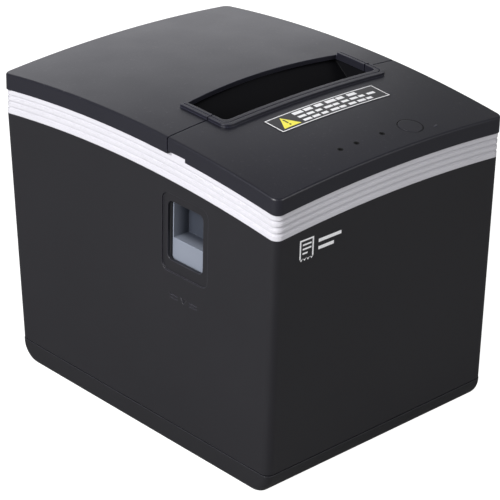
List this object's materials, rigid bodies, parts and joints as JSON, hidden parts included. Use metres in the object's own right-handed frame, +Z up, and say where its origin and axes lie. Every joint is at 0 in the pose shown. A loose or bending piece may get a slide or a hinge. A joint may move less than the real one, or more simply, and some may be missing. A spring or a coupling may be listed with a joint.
{
  "type": "receipt printer",
  "caption": "Desktop thermal receipt printer with a domed lid over a drop-in paper bin, an automatic cutter, a side lid release and rear sockets.",
  "frame": {"origin": "middle of the footprint, on the surface that the rubber feet stand on", "axes": "+X to the right seen from the front, +Y to the rear (sockets), +Z up; the front is at -Y and the release button at -X"},
  "size_m": [0.145, 0.19, 0.1621],
  "materials": {
    "black_shell": "fine moulded grain, semi-matt",
    "black_tray": "fine moulded grain, matt",
    "silver_trim": "light silver-grey paint-like satin",
    "foot_rubber": "matt",
    "screw_steel": "plain",
    "label_print": "printed film",
    "zinc_sheet": "zinc-plated sheet",
    "black_moulding": "matt",
    "gloss_chute": "polished",
    "sensor_black": "plain",
    "spring_steel": "drawn wire",
    "motor_steel": "plated can",
    "blade_steel": "ground",
    "gear_nylon": "natural acetal",
    "pinion_brass": "turned",
    "platen_bush": "natural acetal",
    "platen_rubber": "ground rubber",
    "heat_sink": "extruded",
    "head_ceramic": "glazed line",
    "board_green": "solder mask",
    "board_parts": "moulded packages",
    "light_pipe": "dark tinted",
    "socket_black": "plain",
    "socket_metal": "plated shield",
    "release_grey": "satin blue-grey",
    "key_black": "satin"
  },
  "bodies": {
    "base": {"base_tray": "black_tray", "rubber_feet": "foot_rubber", "base_screws": "screw_steel", "body_shell": "black_shell", "trim_band": "silver_trim", "front_cover": "black_shell", "notice_label": "label_print", "hinge_lugs": "zinc_sheet", "hinge_pins": "screw_steel", "paper_bin": "black_moulding", "top_deck": "black_moulding", "paper_sensor": "sensor_black", "cover_switch": "sensor_black", "side_plate_left": "zinc_sheet", "side_plate_right": "zinc_sheet", "spring_plate": "zinc_sheet", "head_pivot": "screw_steel", "head_springs": "spring_steel", "idler_pin": "screw_steel", "feed_motor": "motor_steel", "motor_bracket": "zinc_sheet", "bracket_spacers": "zinc_sheet", "cutter_frame": "zinc_sheet", "cutter_motor": "motor_steel", "release_guide": "black_moulding", "release_spring": "spring_steel", "panel_board": "board_green", "feed_switch": "sensor_black", "light_pipes": "light_pipe", "main_board": "board_green", "board_posts": "black_moulding", "board_parts": "board_parts", "lan_socket": "socket_metal", "drawer_socket": "socket_metal", "usb_socket": "socket_metal", "dc_socket": "socket_black", "switch_housing": "black_moulding", "rear_panel": "black_moulding"},
    "lid": {"lid_shell": "black_shell", "platen_bushes": "platen_bush", "platen_carrier": "black_moulding", "fixed_blade": "blade_steel", "exit_chute": "gloss_chute"},
    "platen": {"platen_shaft": "screw_steel", "platen_rubber": "platen_rubber", "platen_gear": "gear_nylon"},
    "idler": {"idler_gear": "gear_nylon"},
    "pinion": {"motor_pinion": "pinion_brass"},
    "head": {"heat_sink": "heat_sink", "print_head": "head_ceramic"},
    "cutter_blade": {"moving_blade": "blade_steel"},
    "cutter_drive": {"cutter_shaft": "gear_nylon"},
    "release": {"release_button": "release_grey"},
    "latch": {"latch_shaft": "screw_steel", "latch_hooks": "zinc_sheet", "latch_crank": "zinc_sheet"},
    "feed_key": {"feed_button": "key_black"},
    "power_rocker": {"power_rocker": "socket_black"}
  },
  "joints": [
    {"name": "lid_open", "type": "hinge", "parent": "base", "child": "lid", "pos_m": [0, 0.0926, 0.149], "axis": [-1, 0, 0], "range_deg": [0, 90]},
    {"name": "platen_spin", "type": "hinge", "parent": "lid", "child": "platen", "pos_m": [0.0035, -0.016, 0.128], "axis": [1, 0, 0], "continuous": true},
    {"name": "idler_spin", "type": "hinge", "parent": "base", "child": "idler", "pos_m": [-0.04575, -0.01321, 0.11377], "axis": [1, 0, 0], "continuous": true},
    {"name": "pinion_spin", "type": "hinge", "parent": "base", "child": "pinion", "pos_m": [-0.04575, -0.00178, 0.10822], "axis": [1, 0, 0], "continuous": true},
    {"name": "head_tilt", "type": "hinge", "parent": "base", "child": "head", "pos_m": [0.0035, -0.01776, 0.10608], "axis": [1, 0, 0], "range_deg": [0, 3], "stiffness_Nm_per_rad": 2, "springref_deg": -4.58, "deforming": ["head_springs"]},
    {"name": "cutter_stroke", "type": "slide", "parent": "base", "child": "cutter_blade", "axis": [0, 1, 0], "range_m": [0, 0.007]},
    {"name": "cutter_turn", "type": "hinge", "parent": "base", "child": "cutter_drive", "pos_m": [0.0035, -0.048, 0.1346], "axis": [1, 0, 0], "range_deg": [-101, 0.5]},
    {"name": "release_press", "type": "slide", "parent": "base", "child": "release", "axis": [0, 0, -1], "range_m": [0, 0.004], "stiffness_N_per_m": 400, "springref_m": -0.002, "deforming": ["release_spring"]},
    {"name": "latch_turn", "type": "hinge", "parent": "base", "child": "latch", "pos_m": [0.0035, -0.027, 0.102], "axis": [1, 0, 0], "range_deg": [-0.5, 14.6]},
    {"name": "feed_press", "type": "slide", "parent": "base", "child": "feed_key", "axis": [0, 0, -1], "range_m": [0, 0.0008], "stiffness_N_per_m": 500, "springref_m": -0.0005},
    {"name": "power_rock", "type": "hinge", "parent": "base", "child": "power_rocker", "pos_m": [-0.047, 0.0785, 0.0386], "axis": [1, 0, 0], "range_deg": [0, 14]}
  ],
  "couplings": [
    {"joint": "idler_spin", "follows": "platen_spin", "ratio": -0.6},
    {"joint": "pinion_spin", "follows": "platen_spin", "ratio": 1.5},
    {"joint": "cutter_turn", "follows": "cutter_stroke", "rad_per_m": -250},
    {"joint": "latch_turn", "follows": "release_press", "rad_per_m": 62.5}
  ]
}
